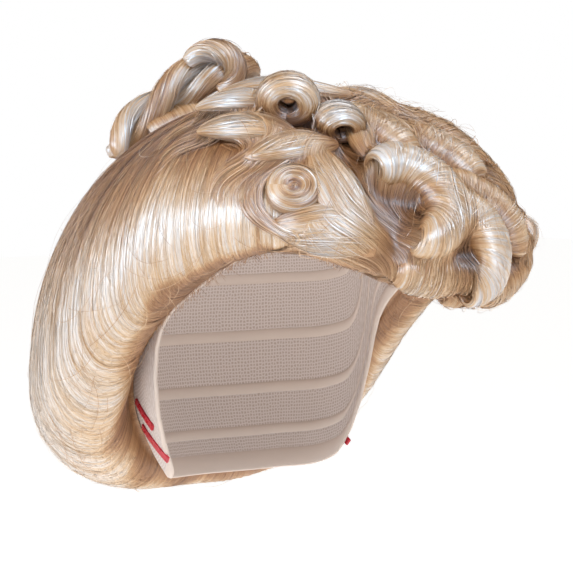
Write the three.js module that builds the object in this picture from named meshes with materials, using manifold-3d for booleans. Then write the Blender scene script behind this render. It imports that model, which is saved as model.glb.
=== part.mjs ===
import * as THREE from 'three';
import { mergeVertices } from 'three/addons/utils/BufferGeometryUtils.js';
import Module from 'manifold-3d';

// A pompadour costume wig, in millimetres, +Z up, facing -Y.
// The origin is the top of the head that wears it, inside the cap's crown.
// "around" is the angle round the head: 0 at the forehead, 90 over the wearer's right ear,
// 180 at the back and negative on the wearer's left.
// "down" runs over the hair from 0 at the crown, through the widest and the lowest level, to 1 at
// the hairline.

const wasm = await Module();
wasm.setup();

// Head
const headWidth = 150;
const headLength = 186;
const crownToTemple = 105;

// Cap
const netWall = 1.5;
const gap = 0.3;

// Hair
const sideHair = 39;
const frontHair = 35;
const backHair = 50;
const crownHair = 25;
const rimHair = 2.5;
const frontSplit = 43;
const planSquareness = 2.35;
const widestDown = 0.6;
const lowestDown = 0.82;

// Curls, twist and ear bands
const curlSize = 28;
const twistSize = 24;
const loopSize = 27;
const loopThick = 12;
const bandWidth = 3.6;
const bandWall = 1.2;

// Where the net ends: how far the edge drops below the crown, as a share of crownToTemple.
const netEdge = [
  { around: 0, drop: 0.53 },
  { around: 20, drop: 0.48 },
  { around: 40, drop: 0.43 },
  { around: 60, drop: 0.55 },
  { around: 82, drop: 0.73 },
  { around: 94, drop: 0.85 },
  { around: 100, drop: 1.0 },
  { around: 107, drop: 1.46 },
  { around: 114, drop: 1.62 },
  { around: 145, drop: 1.69 },
  { around: 180, drop: 1.71 },
];

// Where the hair ends, in the same shares.
const hairEdge = [
  { around: 0, drop: 0.52 },
  { around: 20, drop: 0.47 },
  { around: 40, drop: 0.42 },
  { around: 60, drop: 0.54 },
  { around: 82, drop: 0.72 },
  { around: 96, drop: 0.86 },
  { around: 108, drop: 1.0 },
  { around: 122, drop: 1.16 },
  { around: 135, drop: 1.38 },
  { around: 150, drop: 1.58 },
  { around: 180, drop: 1.68 },
];

// The hair's sweep. reach: share of the plan's radius. level and tuck: the widest and the lowest
// level, as shares of crownToTemple. full: how square the upper curve is. under: where the lowest
// point lies between the hairline and the widest reach.
const sweep = [
  { around: 0, reach: 1.0, level: 0.56, tuck: 0.67, full: 1.6, under: 0.58 },
  { around: 20, reach: 0.97, level: 0.48, tuck: 0.58, full: 1.62, under: 0.58 },
  { around: 40, reach: 0.94, level: 0.34, tuck: 0.49, full: 1.75, under: 0.58 },
  { around: 60, reach: 0.93, level: 0.36, tuck: 0.57, full: 1.95, under: 0.58 },
  { around: 80, reach: 0.95, level: 0.5, tuck: 0.76, full: 2.1, under: 0.55 },
  { around: 100, reach: 1.0, level: 0.8, tuck: 1.02, full: 2.12, under: 0.5 },
  { around: 120, reach: 1.03, level: 1.12, tuck: 1.46, full: 2.12, under: 0.4 },
  { around: 145, reach: 1.02, level: 1.26, tuck: 1.74, full: 2.1, under: 0.28 },
  { around: 180, reach: 1.0, level: 1.28, tuck: 1.8, full: 2.1, under: 0.28 },
];

// The curls, each laid on the hair from its first point. heading: 0 leads away from the crown
// and 90 round towards larger angles. bend: how far the heading turns along the curl.
// length, wide, thick and lift are shares of curlSize, and hole is a share of the thickness. A
// roll is wound round its own line, a lock's hair runs along it, and a ring is wound round the
// upright.
const curls = [
  { name: 'ring_curl_right', kind: 'roll', around: 40, down: 0.21, heading: 0, bend: 0,
    length: 0.62, wide: 1.18, thick: 1.04, lift: 0.44, hole: 0.34 },
  { name: 'oval_curl', kind: 'roll', around: 19, down: 0.235, heading: 5, bend: 0,
    length: 0.62, wide: 0.96, thick: 0.72, lift: 0.3, hole: 0.34 },
  { name: 'c_roll_right', kind: 'roll', around: 17, down: 0.39, heading: -112, bend: 215,
    length: 2.7, wide: 1.0, thick: 0.9, lift: 0.36, hole: 0.34 },
  { name: 'c_roll_front', kind: 'roll', around: 3, down: 0.45, heading: -78, bend: 135,
    length: 1.9, wide: 0.96, thick: 0.84, lift: 0.34, hole: 0.34 },
  { name: 'pin_curl_right', kind: 'ring', around: 38, down: 0.485, heading: 0, bend: 0,
    length: 0.26, wide: 0.94, thick: 0.94, lift: 0.1, hole: 0.3 },
  { name: 'wave_ribbon_right', kind: 'lock', around: 31, down: 0.33, heading: -5, bend: -45,
    length: 2.5, wide: 0.94, thick: 0.36, lift: 0.14, hole: 0 },
  { name: 'leaf_lock_lower', kind: 'lock', around: 51, down: 0.41, heading: -113, bend: -25,
    length: 1.8, wide: 0.74, thick: 0.38, lift: 0.14, hole: 0 },
  { name: 'leaf_lock_middle', kind: 'lock', around: 72, down: 0.31, heading: -102, bend: 7,
    length: 1.9, wide: 0.78, thick: 0.4, lift: 0.16, hole: 0 },
  { name: 'leaf_lock_upper', kind: 'lock', around: 84, down: 0.22, heading: -118, bend: 20,
    length: 1.7, wide: 0.66, thick: 0.38, lift: 0.26, hole: 0 },
  { name: 'oval_tail', kind: 'lock', around: 4, down: 0.22, heading: 35, bend: -30,
    length: 1.6, wide: 0.52, thick: 0.3, lift: 0.2, hole: 0 },
  { name: 'front_wave_left', kind: 'roll', around: -5, down: 0.4, heading: -67, bend: 50,
    length: 1.8, wide: 0.9, thick: 0.72, lift: 0.24, hole: 0 },
  { name: 'tip_roll', kind: 'roll', around: -8, down: 0.7, heading: -84, bend: -6,
    length: 1.8, wide: 0.84, thick: 0.84, lift: 0.34, hole: 0.34 },
  { name: 'ridge_roll', kind: 'roll', around: -52, down: 0.1, heading: 30, bend: 30,
    length: 2.9, wide: 0.96, thick: 0.46, lift: -0.04, hole: 0 },
  { name: 'inner_roll', kind: 'roll', around: 9, down: 0.2, heading: -30, bend: 10,
    length: 1.5, wide: 0.92, thick: 0.6, lift: 0.2, hole: 0 },
  { name: 'ruffle_roll', kind: 'roll', around: -16, down: 0.27, heading: -25, bend: 25,
    length: 1.5, wide: 0.96, thick: 0.74, lift: 0.1, hole: 0 },
  { name: 'brow_roll_right', kind: 'lock', around: 43, down: 0.62, heading: -88, bend: 4,
    length: 2.1, wide: 0.92, thick: 0.6, lift: 0.02, hole: 0 },
  { name: 'brow_roll_middle', kind: 'roll', around: 14, down: 0.68, heading: -90, bend: 0,
    length: 1.4, wide: 0.8, thick: 0.66, lift: 0.06, hole: 0 },
  { name: 'brow_roll_left', kind: 'roll', around: -3, down: 0.79, heading: -92, bend: 0,
    length: 2.2, wide: 0.8, thick: 0.8, lift: 0.12, hole: 0 },
  { name: 'crown_wave', kind: 'lock', around: 100, down: 0.13, heading: -150, bend: -20,
    length: 2.6, wide: 0.5, thick: 0.4, lift: 0.2, hole: 0 },
  { name: 'c_roll_left', kind: 'roll', around: -56, down: 0.33, heading: -110, bend: 190,
    length: 2.3, wide: 0.84, thick: 0.7, lift: 0.04, hole: 0.34 },
  { name: 'pin_curl_left', kind: 'ring', around: -78, down: 0.46, heading: 0, bend: 0,
    length: 0.26, wide: 0.94, thick: 0.94, lift: 0.1, hole: 0.3 },
  { name: 'wave_ribbon_left', kind: 'lock', around: -80, down: 0.3, heading: 10, bend: 40,
    length: 1.6, wide: 0.6, thick: 0.36, lift: 0.14, hole: 0 },
  { name: 'leaf_lock_left', kind: 'lock', around: -108, down: 0.3, heading: 104, bend: -10,
    length: 1.7, wide: 0.48, thick: 0.38, lift: 0.16, hole: 0 },
  { name: 'ring_curl_left', kind: 'roll', around: -96, down: 0.2, heading: 0, bend: 0,
    length: 0.62, wide: 0.8, thick: 0.7, lift: 0.02, hole: 0.34 },
  { name: 'brow_roll_side', kind: 'roll', around: -42, down: 0.66, heading: -86, bend: 0,
    length: 1.6, wide: 0.8, thick: 0.64, lift: 0.06, hole: 0 },
  { name: 'top_roll_left', kind: 'roll', around: -44, down: 0.2, heading: 0, bend: 40,
    length: 2.0, wide: 0.96, thick: 0.56, lift: -0.02, hole: 0 },
  { name: 'front_roll_left', kind: 'roll', around: -56, down: 0.36, heading: -15, bend: 60,
    length: 1.8, wide: 0.96, thick: 0.54, lift: -0.02, hole: 0.34 },
  { name: 'brow_wave_left', kind: 'roll', around: -30, down: 0.62, heading: -78, bend: 0,
    length: 1.6, wide: 0.9, thick: 0.7, lift: 0.16, hole: 0 },
  { name: 'middle_wave', kind: 'lock', around: -6, down: 0.17, heading: -14, bend: 20,
    length: 1.9, wide: 0.86, thick: 0.44, lift: 0.12, hole: 0 },
  { name: 'top_wave', kind: 'lock', around: -70, down: 0.08, heading: 50, bend: 20,
    length: 1.9, wide: 0.5, thick: 0.4, lift: 0.14, hole: 0 },
  { name: 'crown_roll', kind: 'roll', around: 155, down: 0.215, heading: 128, bend: 0,
    length: 2.5, wide: 0.9, thick: 0.8, lift: 0.1, hole: 0 },
];

// The twist over the back of the crown: its middle line, with lift as a share of twistSize.
const twist = [
  { around: 149, down: 0.27, lift: 0.2 },
  { around: 155, down: 0.225, lift: 0.5 },
  { around: 164, down: 0.175, lift: 0.75 },
  { around: 178, down: 0.135, lift: 1.0 },
  { around: -163, down: 0.14, lift: 0.95 },
  { around: -152, down: 0.19, lift: 0.6 },
  { around: -147, down: 0.26, lift: 0.2 },
];
const twistTurns = 1.9;

// The loop that stands in front of the twist: its middle line from the twist's highest row, as
// shares of loopSize, level along its own plane, ahead of that plane and up.
const loopTurn = 40;
const loop = [
  { along: -0.44, ahead: 0.3, rise: 0.14 },
  { along: -0.2, ahead: 0.34, rise: 0.36 },
  { along: 0.12, ahead: 0.36, rise: 0.42 },
  { along: 0.42, ahead: 0.36, rise: 0.28 },
  { along: 0.54, ahead: 0.34, rise: 0 },
  { along: 0.42, ahead: 0.3, rise: -0.26 },
  { along: 0.18, ahead: 0.26, rise: -0.42 },
];

// The red bands on the net behind each ear, from the back end to the ear, as shares of
// crownToTemple.
const earBands = [
  { name: 'upper', backAround: 124, backDrop: 1.28, earAround: 111, earDrop: 1.4 },
  { name: 'lower', backAround: 125, backDrop: 1.41, earAround: 108, earDrop: 1.56 },
];

const degree = Math.PI / 180;
const up = new THREE.Vector3(0, 0, 1);

// A table's value at an angle, on a smooth curve through its rows that is the same on both sides.
function column(table, key, around) {
  const angle = Math.abs(((around + 540) % 360 + 360) % 360 - 180);
  const last = table.length - 1;
  let i = 0;
  while (i < last - 1 && angle >= table[i + 1].around) i += 1;
  const slope = (k) => {
    if (k === 0 || k === last) return 0;
    const rise = table[k + 1][key] - table[k - 1][key];
    return rise / (table[k + 1].around - table[k - 1].around);
  };
  const span = table[i + 1].around - table[i].around;
  const t = (angle - table[i].around) / span;
  return (2 * t ** 3 - 3 * t ** 2 + 1) * table[i][key]
    + (t ** 3 - 2 * t ** 2 + t) * span * slope(i)
    + (3 * t ** 2 - 2 * t ** 3) * table[i + 1][key]
    + (t ** 3 - t ** 2) * span * slope(i + 1);
}

function polar(around, radius, z) {
  return new THREE.Vector3(-Math.sin(around * degree) * radius, -Math.cos(around * degree) * radius, z);
}

// The head's radius at a level, grown by an offset.
function headRadius(around, z, offset) {
  const side = Math.sin(around * degree) / (headWidth / 2 + offset);
  const ahead = Math.cos(around * degree) / (headLength / 2 + offset);
  const height = (z + crownToTemple) / (crownToTemple + offset);
  return Math.sqrt(Math.max(1 - height ** 2, 0)) / Math.hypot(side, ahead);
}

// A ring of the head's surface, grown by an offset, at a share of the way to an edge.
function headRing(edge, share, offset, count) {
  const ring = [];
  for (let k = 0; k < count; k += 1) {
    const around = 360 * k / count - 180;
    const drop = column(edge, 'drop', around) * crownToTemple;
    const reach = Math.acos((crownToTemple - drop) / (crownToTemple + offset));
    const z = (crownToTemple + offset) * Math.cos(reach * share) - crownToTemple;
    ring.push(polar(around, headRadius(around, z, offset), z));
  }
  return share === 0 ? [new THREE.Vector3(0, 0, offset)] : ring;
}

// A point on the hair's outer surface.
function hairPoint(around, down) {
  const angle = around * degree;
  const length = headLength / 2 + (Math.cos(angle) > 0 ? frontHair : backHair);
  const side = (Math.abs(Math.sin(angle)) / (headWidth / 2 + sideHair)) ** planSquareness;
  const ahead = (Math.abs(Math.cos(angle)) / length) ** planSquareness;
  const reach = column(sweep, 'reach', around) / (side + ahead) ** (1 / planSquareness);
  const level = -crownToTemple * column(sweep, 'level', around);
  const tuck = -crownToTemple * column(sweep, 'tuck', around);
  const edge = -crownToTemple * column(hairEdge, 'drop', around);
  const rim = headRadius(around, edge, netWall + gap) + rimHair;
  const low = rim + (reach - rim) * column(sweep, 'under', around);
  const power = 2 / column(sweep, 'full', around);
  if (down <= widestDown) {
    const t = down / widestDown * Math.PI / 2;
    const z = level + (crownHair - level) * Math.cos(t) ** power;
    return polar(around, reach * Math.sin(t) ** power, z);
  }
  if (down <= lowestDown) {
    const t = (down - widestDown) / (lowestDown - widestDown) * Math.PI / 2;
    return polar(around, low + (reach - low) * Math.cos(t), level - (level - tuck) * Math.sin(t));
  }
  const t = (down - lowestDown) / (1 - lowestDown) * Math.PI / 2;
  return polar(around, low - (low - rim) * Math.sin(t), edge + (tuck - edge) * Math.cos(t));
}

// The outward direction of the hair's surface.
const nearDown = 0.004;
const nearAround = 0.5;
function hairNormal(around, down) {
  const above = hairPoint(around, Math.max(down - nearDown, nearDown / 2));
  const below = hairPoint(around, Math.min(down + nearDown, 1));
  const level = Math.max(down, nearDown);
  const before = hairPoint(around - nearAround, level);
  const after = hairPoint(around + nearAround, level);
  return after.sub(before).cross(below.sub(above)).normalize();
}

// A point above the hair's surface.
function aboveHair(around, down, lift) {
  return hairPoint(around, down).addScaledVector(hairNormal(around, down), lift);
}

// The place on the hair nearest to a point, found in ever finer steps.
const coarseStep = 0.05;
const fineStep = 0.001;
function settle(point) {
  const around = Math.atan2(-point.x, -point.y) / degree;
  let nearest = { down: 0.5, away: Infinity };
  let reach = 0.48;
  for (let step = coarseStep; step > fineStep; step /= 5) {
    const middle = nearest.down;
    for (let down = middle - reach; down <= middle + reach; down += step) {
      const held = Math.min(Math.max(down, nearDown), 1);
      const away = hairPoint(around, held).distanceTo(point);
      if (away < nearest.away) nearest = { down: held, away };
    }
    reach = step;
  }
  return { around, down: nearest.down };
}

// A curl's middle line over the hair: places, each with its outward, along and across directions.
function walk(curl, steps) {
  let place = { around: curl.around, down: curl.down };
  const length = curl.length * curlSize;
  const below = hairPoint(place.around, place.down + 0.01);
  const along = below.sub(hairPoint(place.around, place.down)).normalize();
  along.applyAxisAngle(hairNormal(place.around, place.down), -curl.heading * degree);
  const line = [];
  for (let i = 0; i <= steps; i += 1) {
    const out = hairNormal(place.around, place.down);
    along.addScaledVector(out, -along.dot(out)).normalize();
    const point = hairPoint(place.around, place.down).addScaledVector(out, curl.lift * curlSize);
    line.push({ point, out, along: along.clone(), across: along.clone().cross(out) });
    const next = hairPoint(place.around, place.down).addScaledVector(along, length / steps);
    place = settle(next);
    along.applyAxisAngle(out, -curl.bend / steps * degree);
  }
  return line;
}

// A closed skin over rings of points. A ring of one point is a tip, and a looped skin joins its
// last ring to its first.
function skin(rings, looped = false) {
  const points = rings.flat();
  const starts = rings.map((ring, i) => rings.slice(0, i).flat().length);
  const faces = [];
  const bands = looped ? rings.length : rings.length - 1;
  for (let i = 0; i < bands; i += 1) {
    const j = (i + 1) % rings.length;
    const count = Math.max(rings[i].length, rings[j].length);
    for (let k = 0; k < count; k += 1) {
      const here = starts[i] + k % rings[i].length;
      const next = starts[i] + (k + 1) % rings[i].length;
      const beyond = starts[j] + k % rings[j].length;
      const across = starts[j] + (k + 1) % rings[j].length;
      if (here !== next) faces.push([here, next, across]);
      if (beyond !== across) faces.push([here, across, beyond]);
    }
  }
  let volume = 0;
  for (const [a, b, c] of faces) {
    volume += points[a].dot(points[b].clone().cross(points[c]));
  }
  const turned = volume < 0 ? faces.map(([a, b, c]) => [a, c, b]) : faces;
  const geometry = new THREE.BufferGeometry().setFromPoints(points);
  geometry.setIndex(turned.flat());
  return geometry;
}

function toSolid(geometry) {
  const vertProperties = new Float32Array(geometry.attributes.position.array);
  const triVerts = new Uint32Array(geometry.index.array);
  return new wasm.Manifold(new wasm.Mesh({ numProp: 3, vertProperties, triVerts }));
}

function toGeometry(solid) {
  const mesh = solid.getMesh();
  const geometry = new THREE.BufferGeometry();
  geometry.setAttribute('position', new THREE.BufferAttribute(mesh.vertProperties, 3));
  geometry.setIndex(new THREE.BufferAttribute(mesh.triVerts, 1));
  geometry.computeVertexNormals();
  return geometry;
}

// The largest piece of a solid that was cut.
function largest(solid) {
  const pieces = solid.decompose();
  return pieces.reduce((best, piece) => (piece.volume() > best.volume() ? piece : best));
}

// A ring of a tube round a place on its line.
function tubeRing(place, halfWide, halfThick, sides) {
  const ring = [];
  for (let k = 0; k < sides; k += 1) {
    const angle = 2 * Math.PI * (k + 0.5) / sides;
    ring.push(place.point.clone()
      .addScaledVector(place.across, halfWide * Math.cos(angle))
      .addScaledVector(place.out, halfThick * Math.sin(angle)));
  }
  return ring;
}

// A size that swells from a share of itself at both ends to the whole in the middle.
function swell(endShare, power, share) {
  return endShare + (1 - endShare) * Math.max(Math.sin(Math.PI * share), 0) ** power;
}

// A curl's solid, grown by an amount. A grown one is a cutter and has no hole.
const curlSides = 8;
const stepsPerCurlSize = 2.5;
const fewestSteps = 3;
const rollEnds = 0.72;
const rollSwell = 0.5;
const lockEnds = 0.12;
const lockSwell = 0.7;
function curlSolid(curl, grow = 0) {
  const wide = curl.wide * curlSize / 2 + grow;
  const thick = curl.thick * curlSize / 2 + grow;
  let line = walk(curl, Math.max(fewestSteps, Math.round(curl.length * stepsPerCurlSize)));
  if (curl.kind === 'ring') {
    const foot = line[0];
    line = [0, 0.5, 1].map((share) => ({
      point: foot.point.clone().addScaledVector(foot.out, share * curl.length * curlSize),
      out: foot.along,
      across: foot.across,
    }));
  }
  const last = line.length - 1;
  const size = line.map((place, i) => (
    curl.kind === 'lock' ? swell(lockEnds, lockSwell, i / last) : swell(rollEnds, rollSwell, i / last)
  ));
  const rings = line.map((place, i) => tubeRing(place, wide * size[i], thick * size[i], curlSides));
  if (curl.hole === 0 || grow > 0) {
    return toSolid(skin([[line[0].point], ...rings, [line[last].point]]));
  }
  const inner = line.map((place, i) => (
    tubeRing(place, wide * size[i] * curl.hole, thick * size[i] * curl.hole, curlSides)
  ));
  return toSolid(skin([...rings, ...inner.reverse()], true));
}

// Cap: a thin net over the head.
const capAround = 34;
const capShares = [0, 0.16, 0.32, 0.48, 0.62, 0.75, 0.88, 1];
function makeCap() {
  const outer = capShares.map((share) => headRing(netEdge, share, netWall, capAround));
  const inner = capShares.map((share) => headRing(netEdge, share, 0, capAround));
  return toSolid(skin([...outer, ...inner.reverse()]));
}

// The room that the cap takes, with its clearance, filled to the middle of the head.
function capRoom() {
  const outer = capShares.map((share) => headRing(netEdge, share, netWall + gap, capAround));
  const skirt = outer[outer.length - 1].map((point) => point.clone().setZ(point.z - netWall));
  return toSolid(skin([...outer, skirt, [new THREE.Vector3(0, 0, -crownToTemple / 2)]]));
}

// Hair between the net and the swept outer surface, grown outwards by an amount.
const hairAround = 38;
function makeHair(grow = 0) {
  const downs = [0, 0.07, 0.16, 0.25, 0.35, 0.44, 0.52, widestDown, 0.67, 0.74, lowestDown, 0.91, 1];
  const outer = downs.map((down) => {
    if (down === 0) return [new THREE.Vector3(0, 0, crownHair + grow)];
    const ring = [];
    for (let k = 0; k < hairAround; k += 1) {
      const around = 360 * k / hairAround - 180;
      const point = hairPoint(around, down);
      ring.push(point.addScaledVector(hairNormal(around, down), grow));
    }
    return ring;
  });
  const shares = [1, 0.8, 0.6, 0.4, 0.2, 0];
  const inner = shares.map((share) => headRing(hairEdge, share, netWall / 2, hairAround));
  return toSolid(skin([...outer, ...inner]));
}

// The wedge of the front hair, with its point at the crown, set back by an amount.
function frontWedge(back) {
  const far = headLength + frontHair;
  const half = Math.tan(frontSplit * degree) * (far + back);
  const shape = new THREE.Shape([
    new THREE.Vector2(0, back),
    new THREE.Vector2(-half, -far),
    new THREE.Vector2(half, -far),
  ]);
  const depth = 4 * crownToTemple;
  const wedge = new THREE.ExtrudeGeometry(shape, { depth, bevelEnabled: false });
  wedge.translate(0, 0, -depth / 2);
  wedge.deleteAttribute('normal');
  wedge.deleteAttribute('uv');
  return toSolid(mergeVertices(wedge));
}

// One strand of the twist, wound round the middle line from a starting phase.
const twistFlat = 1.3;
const twistSteps = 22;
const twistSides = 8;
const twistEnds = 0.62;
const twistSwell = 0.5;
function twistStrand(phase, grow = 0) {
  const points = twist.map((row) => aboveHair(row.around, row.down, row.lift * twistSize));
  const curve = new THREE.CatmullRomCurve3(points);
  const radius = twistSize / 4;
  const rings = [];
  for (let i = 0; i <= twistSteps; i += 1) {
    const share = i / twistSteps;
    const along = curve.getTangentAt(share);
    const level = along.clone().cross(up).normalize();
    const angle = (twistTurns * share + phase) * 2 * Math.PI;
    const out = level.clone().applyAxisAngle(along, -angle);
    const across = out.clone().cross(along);
    const size = swell(twistEnds, twistSwell, share);
    const point = curve.getPointAt(share).addScaledVector(out, radius * size);
    const thick = (radius - gap / 2) * size;
    rings.push(tubeRing({ point, out, across }, thick * twistFlat + grow, thick + grow, twistSides));
  }
  return toSolid(skin([[curve.getPointAt(0)], ...rings, [curve.getPointAt(1)]]));
}

// The loop of hair that stands on the crown in front of the twist.
const loopSteps = 12;
const loopEnds = 0.7;
function crownLoop(grow = 0) {
  const top = twist.reduce((best, row) => (row.lift > best.lift ? row : best));
  const foot = aboveHair(top.around, top.down, top.lift * twistSize);
  const level = new THREE.Vector3(Math.cos(loopTurn * degree), -Math.sin(loopTurn * degree), 0);
  const ahead = level.clone().cross(up);
  const curve = new THREE.CatmullRomCurve3(loop.map((row) => foot.clone()
    .addScaledVector(level, row.along * loopSize)
    .addScaledVector(ahead, row.ahead * loopSize)
    .addScaledVector(up, row.rise * loopSize)));
  const rings = [];
  for (let i = 0; i <= loopSteps; i += 1) {
    const share = i / loopSteps;
    const point = curve.getPointAt(share);
    const out = ahead.clone().cross(curve.getTangentAt(share)).normalize();
    const size = loopThick / 2 * swell(loopEnds, 1, share) + grow;
    rings.push(tubeRing({ point, out, across: ahead }, size, size, twistSides));
  }
  return toSolid(skin([[curve.getPointAt(0)], ...rings, [curve.getPointAt(1)]]));
}

// A red band on the net behind an ear.
const bandSteps = 3;
function earBand(row, side) {
  const line = [];
  for (let i = 0; i <= bandSteps; i += 1) {
    const share = i / bandSteps;
    const around = side * (row.backAround + (row.earAround - row.backAround) * share);
    const z = -crownToTemple * (row.backDrop + (row.earDrop - row.backDrop) * share);
    const offset = netWall + bandWall / 2;
    line.push({ point: polar(around, headRadius(around, z, offset), z), out: polar(around, 1, 0) });
  }
  const rings = line.map((place, i) => {
    const before = line[Math.max(i - 1, 0)].point;
    const ahead = line[Math.min(i + 1, bandSteps)].point.clone().sub(before);
    const across = ahead.clone().cross(place.out).normalize();
    const out = across.clone().cross(ahead).normalize();
    return [[1, 1], [-1, 1], [-1, -1], [1, -1]].map(([wide, thick]) => place.point.clone()
      .addScaledVector(across, wide * bandWidth / 2)
      .addScaledVector(out, thick * bandWall / 2));
  });
  return toSolid(skin([[line[0].point], ...rings, [line[bandSteps].point]])).subtract(capRoom());
}

const hairFinish = { color: 0xd8b98c, roughness: 0.42, metalness: 0 };
const netFinish = { color: 0xcfc3c0, roughness: 0.8, metalness: 0 };
const bandFinish = { color: 0xb3172c, roughness: 0.35, metalness: 0 };

const wig = new THREE.Group();
function add(name, solid, finish) {
  const mesh = new THREE.Mesh(toGeometry(solid), new THREE.MeshStandardMaterial(finish));
  mesh.name = name;
  wig.add(mesh);
}

add('cap', makeCap(), netFinish);
for (const row of earBands) {
  add(`ear_band_${row.name}_right`, earBand(row, 1), bandFinish);
  add(`ear_band_${row.name}_left`, earBand(row, -1), bandFinish);
}

const hair = makeHair().subtract(capRoom());
const setBack = gap / Math.sin(frontSplit * degree);
add('swept_hair', largest(hair.subtract(frontWedge(setBack))), hairFinish);
add('front_pompadour', largest(hair.intersect(frontWedge(0))), hairFinish);

// Each further piece is cut back from the hair and from the pieces laid before it.
let laid = makeHair(gap);
function lay(name, solid, cutter) {
  add(name, largest(solid.subtract(laid)), hairFinish);
  laid = laid.add(cutter);
}
lay('twist_strand_a', twistStrand(0), twistStrand(0, gap));
lay('twist_strand_b', twistStrand(0.5), twistStrand(0.5, gap));
lay('crown_loop', crownLoop(), crownLoop(gap));
for (const curl of curls) {
  lay(curl.name, curlSolid(curl), curlSolid(curl, gap));
}

export default wig;
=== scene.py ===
import math

import bpy
import numpy as np
from mathutils import Matrix, Vector
from mathutils.bvhtree import BVHTree


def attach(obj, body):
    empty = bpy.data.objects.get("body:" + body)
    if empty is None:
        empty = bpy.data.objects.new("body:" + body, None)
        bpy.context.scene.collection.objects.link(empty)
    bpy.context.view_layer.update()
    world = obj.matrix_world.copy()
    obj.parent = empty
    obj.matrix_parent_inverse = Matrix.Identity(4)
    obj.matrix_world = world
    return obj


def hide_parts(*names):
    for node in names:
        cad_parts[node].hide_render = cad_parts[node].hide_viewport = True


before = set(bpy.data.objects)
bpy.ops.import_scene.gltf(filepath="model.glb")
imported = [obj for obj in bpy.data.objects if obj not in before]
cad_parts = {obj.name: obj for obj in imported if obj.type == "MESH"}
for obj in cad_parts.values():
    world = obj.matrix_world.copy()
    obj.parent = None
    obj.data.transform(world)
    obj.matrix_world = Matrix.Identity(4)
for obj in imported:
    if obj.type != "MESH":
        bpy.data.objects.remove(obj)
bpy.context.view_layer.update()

# Units: shapes are worked out in millimetres and made in metres.
MM = 0.001

# Head, in millimetres. The origin is the top of the head inside the cap's crown.
HEAD_WIDTH = 150
HEAD_LENGTH = 186
CROWN_TO_TEMPLE = 105

# Cap and hair, in millimetres
NET_WALL = 1.5
GAP = 0.3
SIDE_HAIR = 39
FRONT_HAIR = 35
BACK_HAIR = 50
CROWN_HAIR = 25
RIM_HAIR = 2.5
FRONT_SPLIT = 43
PLAN_SQUARENESS = 2.35
WIDEST = 0.6
LOWEST = 0.82

# Curls and twist, in millimetres
CURL_SIZE = 28
TWIST_SIZE = 24
LOOP_SIZE = 27
LOOP_THICK = 12

# Widths of the hair's strands, and how far the curls and their strands stay above the swept
# hair and the curls under them, in millimetres
SWEEP_STRAND, CURL_STRAND, TWIST_STRAND = 0.3, 0.32, 0.36
STRAY_WIDTHS, HAIRLINE_WIDTH = (0.16, 0.26), 0.2
CLEARANCE = 0.2


def rows(names, *values):
    """A table: each row is a dict of its named columns."""
    return [dict(zip(names.split(), row)) for row in values]


def cells(table, key):
    """A table's column as numbers."""
    return np.array([row[key] for row in table], float)


# Where the net and the hair end, as drops below the crown in shares of CROWN_TO_TEMPLE.
NET_EDGE = rows(
    "around drop",
    (0, 0.53), (20, 0.48), (40, 0.43), (60, 0.55), (82, 0.73), (94, 0.85), (100, 1.0),
    (107, 1.46), (114, 1.62), (145, 1.69), (180, 1.71))
HAIR_EDGE = rows(
    "around drop",
    (0, 0.52), (20, 0.47), (40, 0.42), (60, 0.54), (82, 0.72), (96, 0.86), (108, 1.0),
    (122, 1.16), (135, 1.38), (150, 1.58), (180, 1.68))

# The hair's sweep: share of the plan's radius, widest and lowest level, fullness, and where the
# lowest point lies between the hairline and the widest reach.
SWEEP = rows(
    "around reach level tuck full under",
    (0, 1.0, 0.56, 0.67, 1.6, 0.58),
    (20, 0.97, 0.48, 0.58, 1.62, 0.58),
    (40, 0.94, 0.34, 0.49, 1.75, 0.58),
    (60, 0.93, 0.36, 0.57, 1.95, 0.58),
    (80, 0.95, 0.5, 0.76, 2.1, 0.55),
    (100, 1.0, 0.8, 1.02, 2.12, 0.5),
    (120, 1.03, 1.12, 1.46, 2.12, 0.4),
    (145, 1.02, 1.26, 1.74, 2.1, 0.28),
    (180, 1.0, 1.28, 1.8, 2.1, 0.28))

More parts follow.
